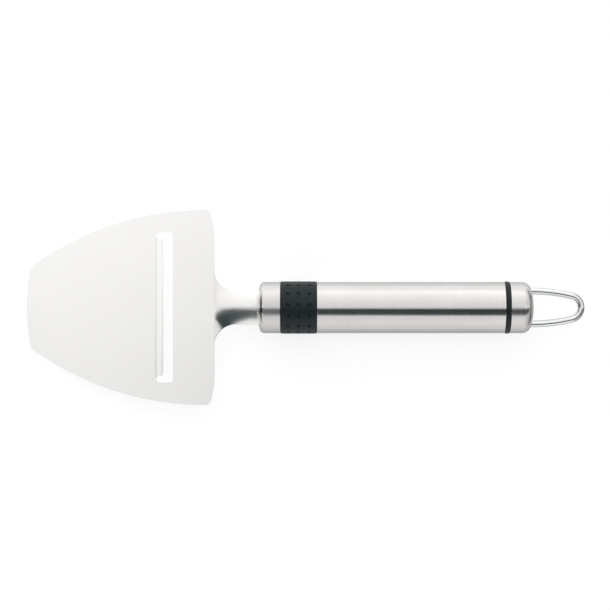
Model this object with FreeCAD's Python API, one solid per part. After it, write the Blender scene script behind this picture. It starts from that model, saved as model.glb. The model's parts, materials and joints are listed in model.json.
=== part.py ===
"""Cheese slicer: a stamped steel blade with a cutting slot, on a round tubular handle.

Lengths are millimetres. The handle lies along X with the hanging loop at +X, Z is up and z = 0 is the
surface that the slicer lies on, touched by the blade's tip and the two soft rings. The origin is under
the middle of the slicer's length.
"""

import FreeCAD, Part
import math
import os

# Handle tube
TUBE_DIAMETER = 22.0
TUBE_WALL = 1.0
TUBE_LENGTH = 80.4
TUBE_EDGE_RADIUS = 0.3

# Front ferrule, a drawn cup with a domed front
FERRULE_LENGTH = 10.2
FERRULE_WALL = 0.8
FERRULE_DOME_RADIUS = 32.0
FERRULE_CORNER_RADIUS = 1.8

# Soft grip ring and its dimples
GRIP_LENGTH = 15.5
GRIP_PROUD = 0.2
GRIP_THICKNESS = 1.7
GRIP_EDGE_RADIUS = 0.5
DIMPLE_DIAMETER = 1.5
DIMPLE_DEPTH = 0.45
DIMPLE_PITCH = 4.55
DIMPLE_COLUMNS = 3
DIMPLE_ROWS = 14
DIMPLE_START_DEGREES = 6.0

# Rear trim ring
REAR_RING_WIDTH = 2.1
REAR_RING_PROUD = 0.2
REAR_RING_THICKNESS = 1.7
REAR_RING_EDGE_SHARE = 0.34

# End cap, a drawn cup with a domed end
CAP_LENGTH = 10.3
CAP_WALL = 0.8
CAP_DOME_RADIUS = 28.5
CAP_CORNER_RADIUS = 4.0
CUP_RIM_RADIUS = 0.25

# Hanging loop, one bent wire
WIRE_DIAMETER = 2.9
LOOP_REACH = 21.9
LOOP_LEG_INSET = 3.95
LOOP_NARROWING = 1.9
LEG_FLARE_HEIGHT = 0.6
LEG_FLARE_GROWTH = 0.6

# Flat plate of the blade
SHEET_THICKNESS = 1.0
PLATE_LENGTH = 82.2
PLATE_WIDTH = 83.6
PLATE_SIDE_RADIUS = 130.0
PLATE_SIDE_STRAIGHT = 2.6
PLATE_TIP_RADIUS = 90.0
PLATE_TIP_CORNER_RADIUS = 3.4
PLATE_SHOULDER_RADIUS = 40.0
PLATE_SHOULDER_CURVE = 13.1
PLATE_SHOULDER_CORNER_RADIUS = 2.2

# Cutting slot and its bent lip
SLOT_FROM_SHOULDER = 18.0
SLOT_GAP = 4.6
SLOT_SIDE_MARGIN = 9.6
SLOT_CORNER_RADIUS = 1.3
LIP_LENGTH = 3.0
LIP_RELIEF_RADIUS = 1.4
LIP_CORNER_SHARE = 0.65
LIP_BEND_RADIUS = 2.0
LIP_BEND_DEGREES = 22.0
LIP_BEVEL = 0.9
LIP_EDGE_LAND = 0.12

# Neck, a shallow channel pressed into the sheet, and the tang behind it
NECK_WIDTH = 14.6
NECK_FILLET_RADIUS = 8.8
NECK_BEND_LENGTH = 15.0
NECK_STRAIGHT = 3.1
NECK_STATIONS = 9
CHANNEL_RADIUS = 15.5
RIDGE_WIDTH = 4.4
RIDGE_GROWTH = 1.4
TANG_WIDTH = 11.0
TANG_LENGTH = 30.0

# Pieces inside the handle
CORE_TUBE_DEPTH = 22.0
CORE_WALL = 3.5
CORE_BORE_FLOOR = 3.0
PIN_DIAMETER = 3.0
PIN_SPACING = 8.0
PLUG_TUBE_DEPTH = 12.0
PLUG_WALL = 2.5
ANCHOR_THICKNESS = 1.5

# Clearances, the overrun of every cut, and how closely a looked-for edge has to match
FIT_CLEARANCE = 0.05
NECK_CLEARANCE = 0.15
OVERRUN = 1.0
MATCH_TOLERANCE = 0.005
ANGLE_TOLERANCE = 1e-12

ORIGIN = FreeCAD.Vector(0, 0, 0)
X_AXIS = FreeCAD.Vector(1, 0, 0)
Y_AXIS = FreeCAD.Vector(0, 1, 0)
Z_AXIS = FreeCAD.Vector(0, 0, 1)

# Radii that follow from the values above
tube_radius = TUBE_DIAMETER / 2
tube_bore = tube_radius - TUBE_WALL
ferrule_bore = tube_radius - FERRULE_WALL
cap_bore = tube_radius - CAP_WALL
grip_radius = tube_radius + GRIP_PROUD
grip_seat = grip_radius - GRIP_THICKNESS
rear_ring_radius = tube_radius + REAR_RING_PROUD
rear_ring_seat = rear_ring_radius - REAR_RING_THICKNESS
wire_radius = WIRE_DIAMETER / 2
pin_radius = PIN_DIAMETER / 2

# Other sizes that follow
leg_offset = tube_radius - LOOP_LEG_INSET
loop_tip_radius = leg_offset - LOOP_NARROWING
slot_length = PLATE_WIDTH - 2 * SLOT_SIDE_MARGIN
axis_height = max(grip_radius, rear_ring_radius)
channel_depth = CHANNEL_RADIUS - math.sqrt(CHANNEL_RADIUS**2 - (NECK_WIDTH / 2) ** 2)
crown_height = axis_height + channel_depth / 2


def blade_droop():
    """The angle in radians by which the plate falls from the neck, so that its tip just meets z = 0."""
    low = 0.0
    high = math.pi / 4
    while high - low > ANGLE_TOLERANCE:
        angle = (low + high) / 2
        bend_drop = NECK_BEND_LENGTH * math.tan(angle / 2)
        plate_drop = PLATE_LENGTH * math.sin(angle)
        sheet_drop = SHEET_THICKNESS / 2 * math.cos(angle)
        if crown_height > bend_drop + plate_drop + sheet_drop:
            low = angle
        else:
            high = angle
    return low


def corner_start(radius, corner_radius, dome_radius):
    """How far behind the apex of a domed end its rounded corner leaves the straight side."""
    reach = math.sqrt((dome_radius - corner_radius) ** 2 - (radius - corner_radius) ** 2)
    return dome_radius - reach


droop = blade_droop()
plate_reach = PLATE_LENGTH * math.cos(droop) + SHEET_THICKNESS / 2 * math.sin(droop)
neck_reach = NECK_BEND_LENGTH + NECK_STRAIGHT
handle_length = FERRULE_LENGTH + GRIP_LENGTH + TUBE_LENGTH + REAR_RING_WIDTH + CAP_LENGTH
overall_length = plate_reach + neck_reach + handle_length + LOOP_REACH

# Stations along X, from the blade to the loop
x_shoulder = plate_reach - overall_length / 2
x_bend_end = x_shoulder + NECK_BEND_LENGTH
x_ferrule_apex = x_bend_end + NECK_STRAIGHT
x_core_front = x_ferrule_apex + corner_start(tube_radius, FERRULE_CORNER_RADIUS, FERRULE_DOME_RADIUS)
x_tang_end = x_core_front + TANG_LENGTH
x_grip_front = x_ferrule_apex + FERRULE_LENGTH
x_grip_rear = x_grip_front + GRIP_LENGTH
x_core_rear = x_grip_rear + CORE_TUBE_DEPTH
x_tube_rear = x_grip_rear + TUBE_LENGTH
x_plug_front = x_tube_rear - PLUG_TUBE_DEPTH
x_cap_rim = x_tube_rear + REAR_RING_WIDTH
x_cap_apex = x_cap_rim + CAP_LENGTH
x_anchor_rear = x_cap_apex - corner_start(tube_radius, CAP_CORNER_RADIUS, CAP_DOME_RADIUS)
x_anchor_front = x_anchor_rear - ANCHOR_THICKNESS
x_loop_end = x_cap_apex + LOOP_REACH
x_grip_middle = (x_grip_front + x_grip_rear) / 2
pin_stations = [x_grip_middle - PIN_SPACING / 2, x_grip_middle + PIN_SPACING / 2]


# Points, edges and outlines


def point(x, y, z=0.0):
    return FreeCAD.Vector(x, y, z)


def chain(*corners):
    """Straight edges from corner to corner."""
    return [Part.makeLine(start, end) for start, end in zip(corners, corners[1:])]


def arc_about(centre, start, end):
    """The shorter arc from start to end about a centre."""
    towards = start + end - centre * 2
    middle = centre + towards * ((start - centre).Length / towards.Length)
    return Part.Arc(start, middle, end).toShape()


def on_circle(centre, radius, angle):
    """The point of a circle in the XY plane at an angle in radians."""
    return centre + point(radius * math.cos(angle), radius * math.sin(angle))


def front_crossing(first, first_radius, second, second_radius):
    """Of the two points where two circles cross, the one nearer to the blade's tip."""
    apart = second - first
    along = (first_radius**2 - second_radius**2 + apart.Length**2) / (2 * apart.Length)
    aside = math.sqrt(first_radius**2 - along**2)
    forward = apart * (1 / apart.Length)
    across = point(-forward.y, forward.x)
    crossings = [first + forward * along + across * (side * aside) for side in (-1, 1)]
    return min(crossings, key=lambda crossing: crossing.x)


def both_sides(edges):
    """One wire from edges on the +Y side and their mirror images."""
    mirrored = [edge.mirror(ORIGIN, Y_AXIS) for edge in edges]
    return Part.Wire(Part.__sortEdges__(edges + mirrored))


def outline_block(half_outline, height):
    """An upright block, half above and half below z = 0, from the +Y half of its outline."""
    face = Part.Face(both_sides(half_outline))
    face.translate(point(0.0, 0.0, -height / 2))
    return face.extrude(point(0.0, 0.0, height))


def round_corner(shape, corner, radius):
    """Fillets a sheet's upright edges at a corner and at its mirror image."""
    picked = []
    for edge in shape.Edges:
        middle = edge.CenterOfMass
        if math.hypot(middle.x - corner.x, abs(middle.y) - corner.y) < MATCH_TOLERANCE:
            picked.append(edge)
    return shape.makeFillet(radius, picked)


# Round shapes on the handle's axis


def handle_cylinder(radius, x_start, x_end, y=0.0):
    """A cylinder along the handle, y away from its axis."""
    return Part.makeCylinder(radius, x_end - x_start, point(x_start, y, axis_height), X_AXIS)


def handle_sleeve(outer_radius, inner_radius, x_start, x_end):
    outer = handle_cylinder(outer_radius, x_start, x_end)
    return outer.cut(handle_cylinder(inner_radius, x_start - OVERRUN, x_end + OVERRUN))


def round_rims(shape, radius, stations, fillet_radius):
    """Fillets the round edges of one radius at some stations along the handle."""
    rims = []
    for edge in shape.Edges:
        if edge.Degenerated or not isinstance(edge.Curve, Part.Circle):
            continue
        fits = math.isclose(edge.Curve.Radius, radius, abs_tol=MATCH_TOLERANCE)
        near = [x for x in stations if math.isclose(edge.Curve.Center.x, x, abs_tol=MATCH_TOLERANCE)]
        if fits and near:
            rims.append(edge)
    return shape.makeFillet(fillet_radius, rims)


def domed_plug(radius, corner_radius, dome_radius, length):
    """A solid bar on the X axis from x = 0, with a rounded corner and a dome at x = length."""
    dome_centre = point(length - dome_radius, 0.0)
    corner_x = length - corner_start(radius, corner_radius, dome_radius)
    corner_centre = point(corner_x, radius - corner_radius)
    turn = math.atan2(corner_centre.y, corner_x - dome_centre.x)
    base = point(0.0, radius)
    side = point(corner_x, radius)
    dome_edge = on_circle(dome_centre, dome_radius, turn)
    apex = point(length, 0.0)
    profile = chain(apex, ORIGIN, base, side)
    profile.append(arc_about(corner_centre, side, dome_edge))
    profile.append(arc_about(dome_centre, dome_edge, apex))
    return Part.Face(Part.Wire(profile)).revolve(ORIGIN, X_AXIS, 360)


def domed_cup(wall, corner_radius, dome_radius, length):
    """A thin cup of the tube's diameter, open at x = 0, with a rounded rim."""
    outer = domed_plug(tube_radius, corner_radius, dome_radius, length)
    inner = domed_plug(tube_radius - wall, corner_radius - wall, dome_radius - wall, length - wall)
    return round_rims(outer.cut(inner), tube_radius, [0.0], CUP_RIM_RADIUS)


# The blade


def channel_section(width, thickness):
    """The sheet's section across neck and tang, in the YZ plane with the middle of its crown at the origin."""
    turn = math.asin(width / 2 / CHANNEL_RADIUS)
    centre = point(0.0, 0.0, -CHANNEL_RADIUS)
    outward = point(0.0, math.sin(turn), math.cos(turn))
    upper_edge = centre + outward * (CHANNEL_RADIUS + thickness / 2)
    lower_edge = centre + outward * (CHANNEL_RADIUS - thickness / 2)
    upper = arc_about(centre, point(0.0, 0.0, thickness / 2), upper_edge)
    lower = arc_about(centre, point(0.0, 0.0, -thickness / 2), lower_edge)
    return both_sides([upper, lower] + chain(upper_edge, lower_edge))


def ridge_section(turn, ridge_half, half):
    """The sheet's section where its channel grows: a rounded ridge with straight flanks that slope by turn."""
    outward = point(0.0, math.sin(turn), math.cos(turn))
    flank = point(0.0, math.cos(turn), -math.sin(turn)) * ((half - ridge_half) / math.cos(turn))
    edges = []
    corners = []
    for offset in (SHEET_THICKNESS / 2, -SHEET_THICKNESS / 2):
        crown = Z_AXIS * offset
        if turn == 0.0:
            ridge_end = crown + Y_AXIS * ridge_half
            edges += chain(crown, ridge_end)
        else:
            radius = ridge_half / math.sin(turn)
            centre = point(0.0, 0.0, -radius)
            ridge_end = centre + outward * (radius + offset)
            edges.append(arc_about(centre, crown, ridge_end))
        corners.append(ridge_end + flank)
        edges += chain(ridge_end, ridge_end + flank)
    return both_sides(edges + chain(*corners))


def channel_bar(width, thickness, x_start, x_end):
    """The neck's curved section drawn out level along the handle."""
    section = Part.Face(channel_section(width, thickness))
    section.translate(point(x_start, 0.0, crown_height))
    return section.extrude(point(x_end - x_start, 0.0, 0.0))


def plate_blank():
    """The flat plate before its slot is cut, with its tip at x = 0 and the middle of the sheet at z = 0."""
    half = PLATE_WIDTH / 2
    shoulder_end = point(PLATE_LENGTH, half - PLATE_SHOULDER_CURVE)
    shoulder_centre = shoulder_end - X_AXIS * PLATE_SHOULDER_RADIUS
    shoulder_turn = math.asin(PLATE_SHOULDER_CURVE / PLATE_SHOULDER_RADIUS)
    shoulder_corner = on_circle(shoulder_centre, PLATE_SHOULDER_RADIUS, shoulder_turn)
    side_end = shoulder_corner - X_AXIS * PLATE_SIDE_STRAIGHT
    side_centre = side_end - Y_AXIS * PLATE_SIDE_RADIUS
    tip_centre = point(PLATE_TIP_RADIUS, 0.0)
    tip_corner = front_crossing(tip_centre, PLATE_TIP_RADIUS, side_centre, PLATE_SIDE_RADIUS)
    outline = [
        arc_about(tip_centre, ORIGIN, tip_corner),
        arc_about(side_centre, tip_corner, side_end),
        arc_about(shoulder_centre, shoulder_corner, shoulder_end),
    ]
    outline += chain(side_end, shoulder_corner)
    outline += chain(shoulder_end, point(PLATE_LENGTH, 0.0))
    blank = outline_block(outline, SHEET_THICKNESS)
    blank = round_corner(blank, tip_corner, PLATE_TIP_CORNER_RADIUS)
    return round_corner(blank, shoulder_corner, PLATE_SHOULDER_CORNER_RADIUS)


def slot_window(x_root, x_far):
    """The tool for the hole that holds both the lip and the open slot."""
    half = slot_length / 2
    outline = chain(point(x_root, 0.0), point(x_root, half), point(x_far, half), point(x_far, 0.0))
    window = outline_block(outline, SHEET_THICKNESS + 2 * OVERRUN)
    window = round_corner(window, point(x_root, half), LIP_RELIEF_RADIUS)
    return round_corner(window, point(x_far, half), SLOT_CORNER_RADIUS)


def lip_strip(x_root, width):
    """The bent strip beside the slot, ground to a cutting edge that faces the handle."""
    angle = math.radians(LIP_BEND_DEGREES)
    along = point(math.cos(angle), 0.0, -math.sin(angle))
    outward = point(math.sin(angle), 0.0, math.cos(angle))
    centre = point(x_root, 0.0, -SHEET_THICKNESS / 2 - LIP_BEND_RADIUS)
    outer_radius = LIP_BEND_RADIUS + SHEET_THICKNESS
    straight = (LIP_LENGTH - LIP_BEND_RADIUS * math.sin(angle)) / math.cos(angle)
    lower_root = centre + Z_AXIS * LIP_BEND_RADIUS
    upper_root = centre + Z_AXIS * outer_radius
    lower_bend = centre + outward * LIP_BEND_RADIUS
    upper_bend = centre + outward * outer_radius
    edge = lower_bend + along * straight
    land = edge + outward * LIP_EDGE_LAND
    bevel_top = upper_bend + along * (straight - LIP_BEVEL)
    profile = chain(lower_bend, edge, land, bevel_top, upper_bend) + chain(upper_root, lower_root)
    profile.append(arc_about(centre, lower_root, lower_bend))
    profile.append(arc_about(centre, upper_bend, upper_root))
    face = Part.Face(Part.Wire(Part.__sortEdges__(profile)))
    face.translate(point(0.0, -width / 2, 0.0))
    return face.extrude(point(0.0, width, 0.0))


def lip(x_root):
    """The bent strip with relieved root corners and rounded free corners."""
    root_half = slot_length / 2 - LIP_RELIEF_RADIUS
    side_y = root_half - LIP_RELIEF_RADIUS
    corner_radius = LIP_CORNER_SHARE * (LIP_LENGTH - LIP_RELIEF_RADIUS)
    x_free = x_root + LIP_LENGTH
    root = point(x_root, root_half)
    relief_end = point(x_root + LIP_RELIEF_RADIUS, side_y)
    corner_centre = point(x_free - corner_radius, side_y - corner_radius)
    corner_front = corner_centre + Y_AXIS * corner_radius
    corner_rear = corner_centre + X_AXIS * corner_radius
    past_edge = corner_rear + X_AXIS * OVERRUN
    outline = chain(point(x_root, 0.0), root)
    outline += chain(relief_end, corner_front)
    outline += chain(corner_rear, past_edge, point(past_edge.x, 0.0))
    outline.append(arc_about(root + X_AXIS * LIP_RELIEF_RADIUS, root, relief_end))
    outline.append(arc_about(corner_centre, corner_front, corner_rear))
    block = outline_block(outline, 2 * (SHEET_THICKNESS + LIP_LENGTH))
    return lip_strip(x_root, 2 * root_half).common(block)


def plate():
    """The flat plate with its slot and bent lip, falling away from the neck."""
    x_far = PLATE_LENGTH - SLOT_FROM_SHOULDER
    x_root = x_far - SLOT_GAP - LIP_LENGTH
    flat = plate_blank().cut(slot_window(x_root, x_far)).fuse(lip(x_root))
    flat.rotate(point(PLATE_LENGTH, 0.0), Y_AXIS, -math.degrees(droop))
    bend_drop = NECK_BEND_LENGTH * math.tan(droop / 2)
    flat.translate(point(x_shoulder - PLATE_LENGTH, 0.0, crown_height - bend_drop))
    return flat


def neck_outline():
    """A tall block of the neck's outline from above, flared to the plate by two fillets."""
    half = NECK_WIDTH / 2
    x_start = x_shoulder - OVERRUN
    x_end = x_bend_end + OVERRUN
    fillet_centre = point(x_shoulder + NECK_FILLET_RADIUS, half + NECK_FILLET_RADIUS)
    fillet_start = fillet_centre - X_AXIS * NECK_FILLET_RADIUS
    fillet_end = fillet_centre - Y_AXIS * NECK_FILLET_RADIUS
    outline = chain(point(x_start, 0.0), point(x_start, fillet_start.y), fillet_start)
    outline += chain(fillet_end, point(x_end, half), point(x_end, 0.0))
    outline.append(arc_about(fillet_centre, fillet_start, fillet_end))
    return outline_block(outline, 4 * axis_height)


def neck_bend():
    """The sheet between plate and neck, where it turns level and its channel grows out of a narrow ridge."""
    widest_half = NECK_WIDTH / 2 + NECK_FILLET_RADIUS
    last_ridge = NECK_WIDTH / 2 + OVERRUN
    narrowest_half = last_ridge + OVERRUN
    last_slope = math.asin(last_ridge / CHANNEL_RADIUS)
    bend_radius = NECK_BEND_LENGTH / math.sin(droop)
    sections = []
    for station in range(NECK_STATIONS):
        share = station / (NECK_STATIONS - 1)
        slope = last_slope * share**RIDGE_GROWTH
        ridge_half = max(RIDGE_WIDTH / 2, CHANNEL_RADIUS * math.sin(slope))
        half = widest_half + (narrowest_half - widest_half) * share
        turn = droop * (1 - share)
        section = ridge_section(slope, ridge_half, half)
        section.rotate(ORIGIN, Y_AXIS, -math.degrees(turn))
        x = x_bend_end - bend_radius * math.sin(turn)
        z = crown_height - bend_radius * (1 - math.cos(turn))
        section.translate(point(x, 0.0, z))
        sections.append(section)
    return Part.makeLoft(sections, True, False).common(neck_outline())


def upright_pin(radius, x, half_length):
    return Part.makeCylinder(radius, 2 * half_length, point(x, 0.0, axis_height - half_length), Z_AXIS)


def blade():
    """One stamped sheet: plate, neck and the tang that the handle holds."""
    neck = channel_bar(NECK_WIDTH, SHEET_THICKNESS, x_bend_end, x_core_front)
    tang = channel_bar(TANG_WIDTH, SHEET_THICKNESS, x_core_front, x_tang_end)
    holes = [upright_pin(pin_radius + FIT_CLEARANCE, x, grip_seat) for x in pin_stations]
    return plate().fuse([neck_bend(), neck, tang.cut(holes)]).removeSplitter()


# The handle's outer pieces


def front_ferrule():
    """The drawn cup that closes the handle's front, open where the neck goes in."""
    cup = domed_cup(FERRULE_WALL, FERRULE_CORNER_RADIUS, FERRULE_DOME_RADIUS, FERRULE_LENGTH)
    cup.rotate(ORIGIN, Z_AXIS, 180)
    cup.translate(point(x_grip_front, 0.0, axis_height))
    opening_width = NECK_WIDTH + 2 * NECK_CLEARANCE
    opening_thickness = SHEET_THICKNESS + 2 * NECK_CLEARANCE
    return cup.cut(channel_bar(opening_width, opening_thickness, x_ferrule_apex - OVERRUN, x_core_front))


def grip_ring():
    """The soft sleeve with rows of round dimples."""
    ring = handle_sleeve(grip_radius, grip_seat, x_grip_front, x_grip_rear)
    ring = round_rims(ring, grip_radius, [x_grip_front, x_grip_rear], GRIP_EDGE_RADIUS)
    ball_radius = ((DIMPLE_DIAMETER / 2) ** 2 + DIMPLE_DEPTH**2) / (2 * DIMPLE_DEPTH)
    ball_offset = grip_radius - DIMPLE_DEPTH + ball_radius
    balls = []
    for column in range(DIMPLE_COLUMNS):
        x = x_grip_middle + (column - (DIMPLE_COLUMNS - 1) / 2) * DIMPLE_PITCH
        for row in range(DIMPLE_ROWS):
            angle = math.radians(DIMPLE_START_DEGREES + row * 360 / DIMPLE_ROWS)
            y = ball_offset * math.sin(angle)
            z = axis_height + ball_offset * math.cos(angle)
            balls.append(Part.makeSphere(ball_radius, point(x, y, z)))
    return ring.cut(balls)


def handle_tube():
    tube = handle_sleeve(tube_radius, tube_bore, x_grip_rear, x_tube_rear)
    return round_rims(tube, tube_radius, [x_grip_rear, x_tube_rear], TUBE_EDGE_RADIUS)


def rear_ring():
    ring = handle_sleeve(rear_ring_radius, rear_ring_seat, x_tube_rear, x_cap_rim)
    edge_radius = REAR_RING_EDGE_SHARE * REAR_RING_WIDTH
    return round_rims(ring, rear_ring_radius, [x_tube_rear, x_cap_rim], edge_radius)


def leg_holes(x_start, x_end):
    radius = wire_radius + FIT_CLEARANCE
    return [handle_cylinder(radius, x_start, x_end, side * leg_offset) for side in (-1, 1)]


def end_cap():
    """The drawn cup that closes the handle's rear, drilled for the loop's legs."""
    cup = domed_cup(CAP_WALL, CAP_CORNER_RADIUS, CAP_DOME_RADIUS, CAP_LENGTH)
    cup.translate(point(x_cap_rim, 0.0, axis_height))
    return cup.cut(leg_holes(x_anchor_rear, x_cap_apex + OVERRUN))


def leg_flares(clearance):
    """The spread ends of the loop's legs, which fill the countersinks of the anchor disc."""
    wide_radius = wire_radius + LEG_FLARE_GROWTH + clearance
    flares = []
    for side in (-1, 1):
        base = point(x_anchor_front, side * leg_offset, axis_height)
        flares.append(Part.makeCone(wide_radius, wire_radius + clearance, LEG_FLARE_HEIGHT, base, X_AXIS))
    return flares


def hanging_loop():
    """One wire: two straight legs, two long side arcs and a round end."""
    x_leg_end = x_cap_apex - CAP_DOME_RADIUS + math.sqrt(CAP_DOME_RADIUS**2 - leg_offset**2)
    tip_centre = point(x_loop_end - wire_radius - loop_tip_radius, 0.0)
    run = tip_centre.x - x_leg_end
    side_radius = (run**2 + leg_offset**2 - loop_tip_radius**2) / (2 * LOOP_NARROWING)
    leg_start = point(x_anchor_front, leg_offset)
    leg_end = point(x_leg_end, leg_offset)
    side_centre = leg_end - Y_AXIS * side_radius
    side_end = on_circle(side_centre, side_radius, math.atan2(-side_centre.y, run))
    path = chain(leg_start, leg_end)
    path.append(arc_about(side_centre, leg_end, side_end))
    path.append(arc_about(tip_centre, side_end, tip_centre + X_AXIS * loop_tip_radius))
    section = Part.Wire(Part.makeCircle(wire_radius, leg_start, X_AXIS))
    wire = both_sides(path).makePipeShell([section], True, False)
    wire.translate(point(0.0, 0.0, axis_height))
    return wire.fuse(leg_flares(0.0)).removeSplitter()


# The pieces inside the handle


def front_core():
    """The moulded core that holds the tang and joins ferrule, grip ring and tube."""
    core = handle_cylinder(ferrule_bore - FIT_CLEARANCE, x_core_front, x_grip_front).fuse([
        handle_cylinder(grip_seat, x_grip_front, x_grip_rear),
        handle_cylinder(tube_bore - FIT_CLEARANCE, x_grip_rear, x_core_rear),
    ])
    slot_width = TANG_WIDTH + 2 * FIT_CLEARANCE
    slot_thickness = SHEET_THICKNESS + 2 * FIT_CLEARANCE
    slot = channel_bar(slot_width, slot_thickness, x_core_front - OVERRUN, x_tang_end + FIT_CLEARANCE)
    bore_radius = tube_bore - FIT_CLEARANCE - CORE_WALL
    bore = handle_cylinder(bore_radius, x_tang_end + CORE_BORE_FLOOR, x_core_rear + OVERRUN)
    holes = [upright_pin(pin_radius + FIT_CLEARANCE, x, grip_seat + OVERRUN) for x in pin_stations]
    return core.cut([slot, bore] + holes)


def tang_pins():
    """Two pins through core and tang, just short enough to stay below the grip ring."""
    half_length = math.sqrt(grip_seat**2 - pin_radius**2)
    return Part.makeCompound([upright_pin(pin_radius, x, half_length) for x in pin_stations])


def rear_plug():
    """The moulded sleeve that joins tube and end cap and carries the rear ring."""
    plug = handle_cylinder(tube_bore - FIT_CLEARANCE, x_plug_front, x_tube_rear).fuse([
        handle_cylinder(rear_ring_seat, x_tube_rear, x_cap_rim),
        handle_cylinder(cap_bore - FIT_CLEARANCE, x_cap_rim, x_anchor_front),
    ])
    bore_radius = rear_ring_seat - PLUG_WALL
    return plug.cut(handle_cylinder(bore_radius, x_plug_front - OVERRUN, x_anchor_front + OVERRUN))


def loop_anchor_disc():
    """The steel disc in the end cap that the loop's legs are riveted into."""
    disc = handle_cylinder(cap_bore - FIT_CLEARANCE, x_anchor_front, x_anchor_rear)
    holes = leg_holes(x_anchor_front - OVERRUN, x_anchor_rear + OVERRUN)
    return disc.cut(holes + leg_flares(FIT_CLEARANCE))


PIECES = [
    blade,
    front_ferrule,
    grip_ring,
    handle_tube,
    rear_ring,
    end_cap,
    hanging_loop,
    front_core,
    tang_pins,
    rear_plug,
    loop_anchor_disc,
]


def main():
    os.makedirs("parts", exist_ok=True)
    for piece in PIECES:
        shape = piece()
        name = piece.__name__
        shape.exportStep(f"parts/{name}.step")
        print(f"{name}: {len(shape.Solids)} solids, {shape.Volume:.1f} cubic mm, valid {shape.isValid()}")
    print(f"length {overall_length:.2f} mm, blade droop {math.degrees(droop):.2f} degrees")


main()
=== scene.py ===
"""Looks of the cheese slicer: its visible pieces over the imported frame, their finishes and a studio.

Lengths are metres in the frame's own axes: the handle along X, the blade towards -X, Z up from the floor.
"""

import json
import math

import bmesh
import bpy
from bpy.props import FloatProperty, FloatVectorProperty, IntProperty, PointerProperty
from mathutils import Matrix, Vector


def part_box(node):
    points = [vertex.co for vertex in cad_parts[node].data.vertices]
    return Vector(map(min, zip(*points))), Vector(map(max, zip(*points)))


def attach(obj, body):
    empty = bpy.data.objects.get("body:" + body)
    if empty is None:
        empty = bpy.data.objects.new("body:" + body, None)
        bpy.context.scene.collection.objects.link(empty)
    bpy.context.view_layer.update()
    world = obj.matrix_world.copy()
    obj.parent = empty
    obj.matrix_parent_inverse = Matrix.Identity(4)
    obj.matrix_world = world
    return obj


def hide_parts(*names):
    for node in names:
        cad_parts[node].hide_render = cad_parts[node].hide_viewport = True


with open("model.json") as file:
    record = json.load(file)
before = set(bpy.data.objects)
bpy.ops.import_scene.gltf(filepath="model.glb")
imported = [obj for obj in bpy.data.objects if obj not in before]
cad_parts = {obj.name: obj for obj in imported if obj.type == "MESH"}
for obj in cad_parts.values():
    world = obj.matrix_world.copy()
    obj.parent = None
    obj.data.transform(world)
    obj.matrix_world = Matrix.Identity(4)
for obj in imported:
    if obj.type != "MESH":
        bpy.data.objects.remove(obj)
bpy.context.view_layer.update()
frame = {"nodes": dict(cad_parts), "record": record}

bl_info = {
    "name": "Cheese slicer",
    "version": (1, 0, 0),
    "blender": (4, 5, 0),
    "location": "3D View > Sidebar > Slicer",
    "description": "Models a cheese slicer's visible pieces over its packed frame",
    "category": "Object",
}

MM = 0.001
MERGE_DISTANCE = 0.002 * MM
PLACE_TOLERANCE = 0.01 * MM
SMOOTH_ANGLE = math.radians(40)
ROUND_STEPS = 8
CIRCLE_STEPS = 4 * ROUND_STEPS
HANDLE_SEGMENTS = 192
NECK_COLUMNS = 20
DIMPLE_RINGS = 4
DEBURR_SEGMENTS = 3
# How the neck's channel deepens away from the shoulder: a power of the way, eased in at its start
CHANNEL_POWER = 0.65
CHANNEL_EASE = 0.03
# Most of a noise pattern lies between these values
NOISE_LOW = 0.3
NOISE_HIGH = 0.7

# The light tent by direction: tilt in degrees from straight up to +Y, x along X, and lean as x over height
PANEL_PEAK = 1.5
PANEL_LEVELS = ((-90, 0.80), (-65, 0.95), (-4, 0.77), (4, 0.95), (15, 1.0), (74, 1.36), (90, 1.06))
LEAST_HEIGHT = 0.02
# The dark gap's edges: the tilts where each starts and ends, and its turn by GAP_TURN_X on the blade's side
GAP_EDGES = ((-3.5, -8.5, 4), (-40.5, -32.5, 6))
GAP_TURN_X = -0.08
# The white card across the gap, which the plate mirrors
WHITE_CARD_LEANS = ((-0.25, -0.29), (-0.50, -0.42))
# Where the panels are brighter, where they are dimmer, and the dark opening low beyond the blade
BRIGHT_END_LEANS = (0.22, 0.42)
BRIGHT_END_LEVEL = 1.2
CORNER_X = (0.30, 0.45)
CORNER_TILTS = (8, 16)
CORNER_LEVEL = 0.65
OPENING_X = (-0.90, -0.72)
OPENING_LEVEL = 0.05

# The floor as the steel sees it: painted dark patches past the slicer's ends, which only its reflections
# show, and open floor ahead of the ferrule
REFLECTED_DARK_START = (122 * MM, 142 * MM)
REFLECTED_DARK_SLANT = (0.75, 0.35)
OPEN_FLOOR_SHARE = 1.8
OPEN_FLOOR_LEVEL = 0.92

# Places that the frame gives
handle_low, handle_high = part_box("handle_tube")
ferrule_low, ferrule_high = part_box("front_ferrule")
grip_low, grip_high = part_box("grip_ring")
ring_low, ring_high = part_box("rear_ring")
cap_low, cap_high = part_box("end_cap")
loop_low, loop_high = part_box("hanging_loop")
blade_low, blade_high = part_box("blade")
core_low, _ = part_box("front_core")
axis_height = (handle_low.z + handle_high.z) / 2
tube_radius = (handle_high.z - handle_low.z) / 2
plate_mount = next(m for m in frame["record"]["mounts"] if m["name"] == "blade_top")
plate_normal = Vector(plate_mount["axis"])
droop = math.atan2(-plate_normal.x, plate_normal.z)


def linear(code):
    """The linear colour of an sRGB hex code."""
    shares = [int(code[i : i + 2], 16) / 255 for i in (1, 3, 5)]
    return tuple(c / 12.92 if c <= 0.04045 else ((c + 0.055) / 1.055) ** 2.4 for c in shares)


def length(name, description, millimetres):
    return FloatProperty(
        name=name, description=description, default=millimetres * MM, precision=5, unit="LENGTH"
    )


def turn_angle(name, description, degrees):
    return FloatProperty(
        name=name, description=description, default=math.radians(degrees), subtype="ANGLE"
    )


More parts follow.
